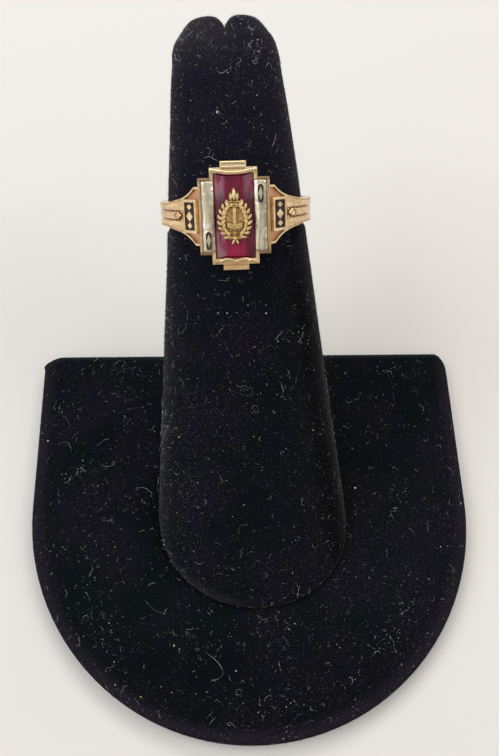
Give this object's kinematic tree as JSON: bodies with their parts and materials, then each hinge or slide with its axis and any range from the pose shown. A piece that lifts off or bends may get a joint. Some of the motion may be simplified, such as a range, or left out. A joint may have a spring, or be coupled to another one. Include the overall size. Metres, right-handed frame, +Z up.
{
  "type": "class ring on a velvet finger display stand",
  "caption": "Gold class ring with a long red stone, pale side bars and a wreath emblem, worn by a leaning black velvet finger on a flat velvet base with a round front.",
  "frame": {"origin": "on the table, at the centre of the base's round front", "axes": "+Z up from the table, +Y from the round front towards the straight back edge and the finger's tip, +X to the right seen from the front"},
  "size_m": [0.064, 0.0836, 0.0471],
  "materials": {
    "yellow_gold": "polished, with matte recesses",
    "pale_gold": "satin",
    "red_stone": "polished",
    "emblem_gold": "satin relief",
    "black_enamel": "glossy",
    "black_velvet": "velvet pile",
    "raw_board": "raw"
  },
  "bodies": {
    "root": {"ring_casting": "yellow_gold", "side_plate_left": "pale_gold", "side_plate_right": "pale_gold", "stone": "red_stone", "emblem": "emblem_gold", "enamel_left": "black_enamel", "enamel_right": "black_enamel", "stand_finger": "black_velvet", "stand_base": "black_velvet", "stand_backing": "raw_board"}
  },
  "joints": []
}
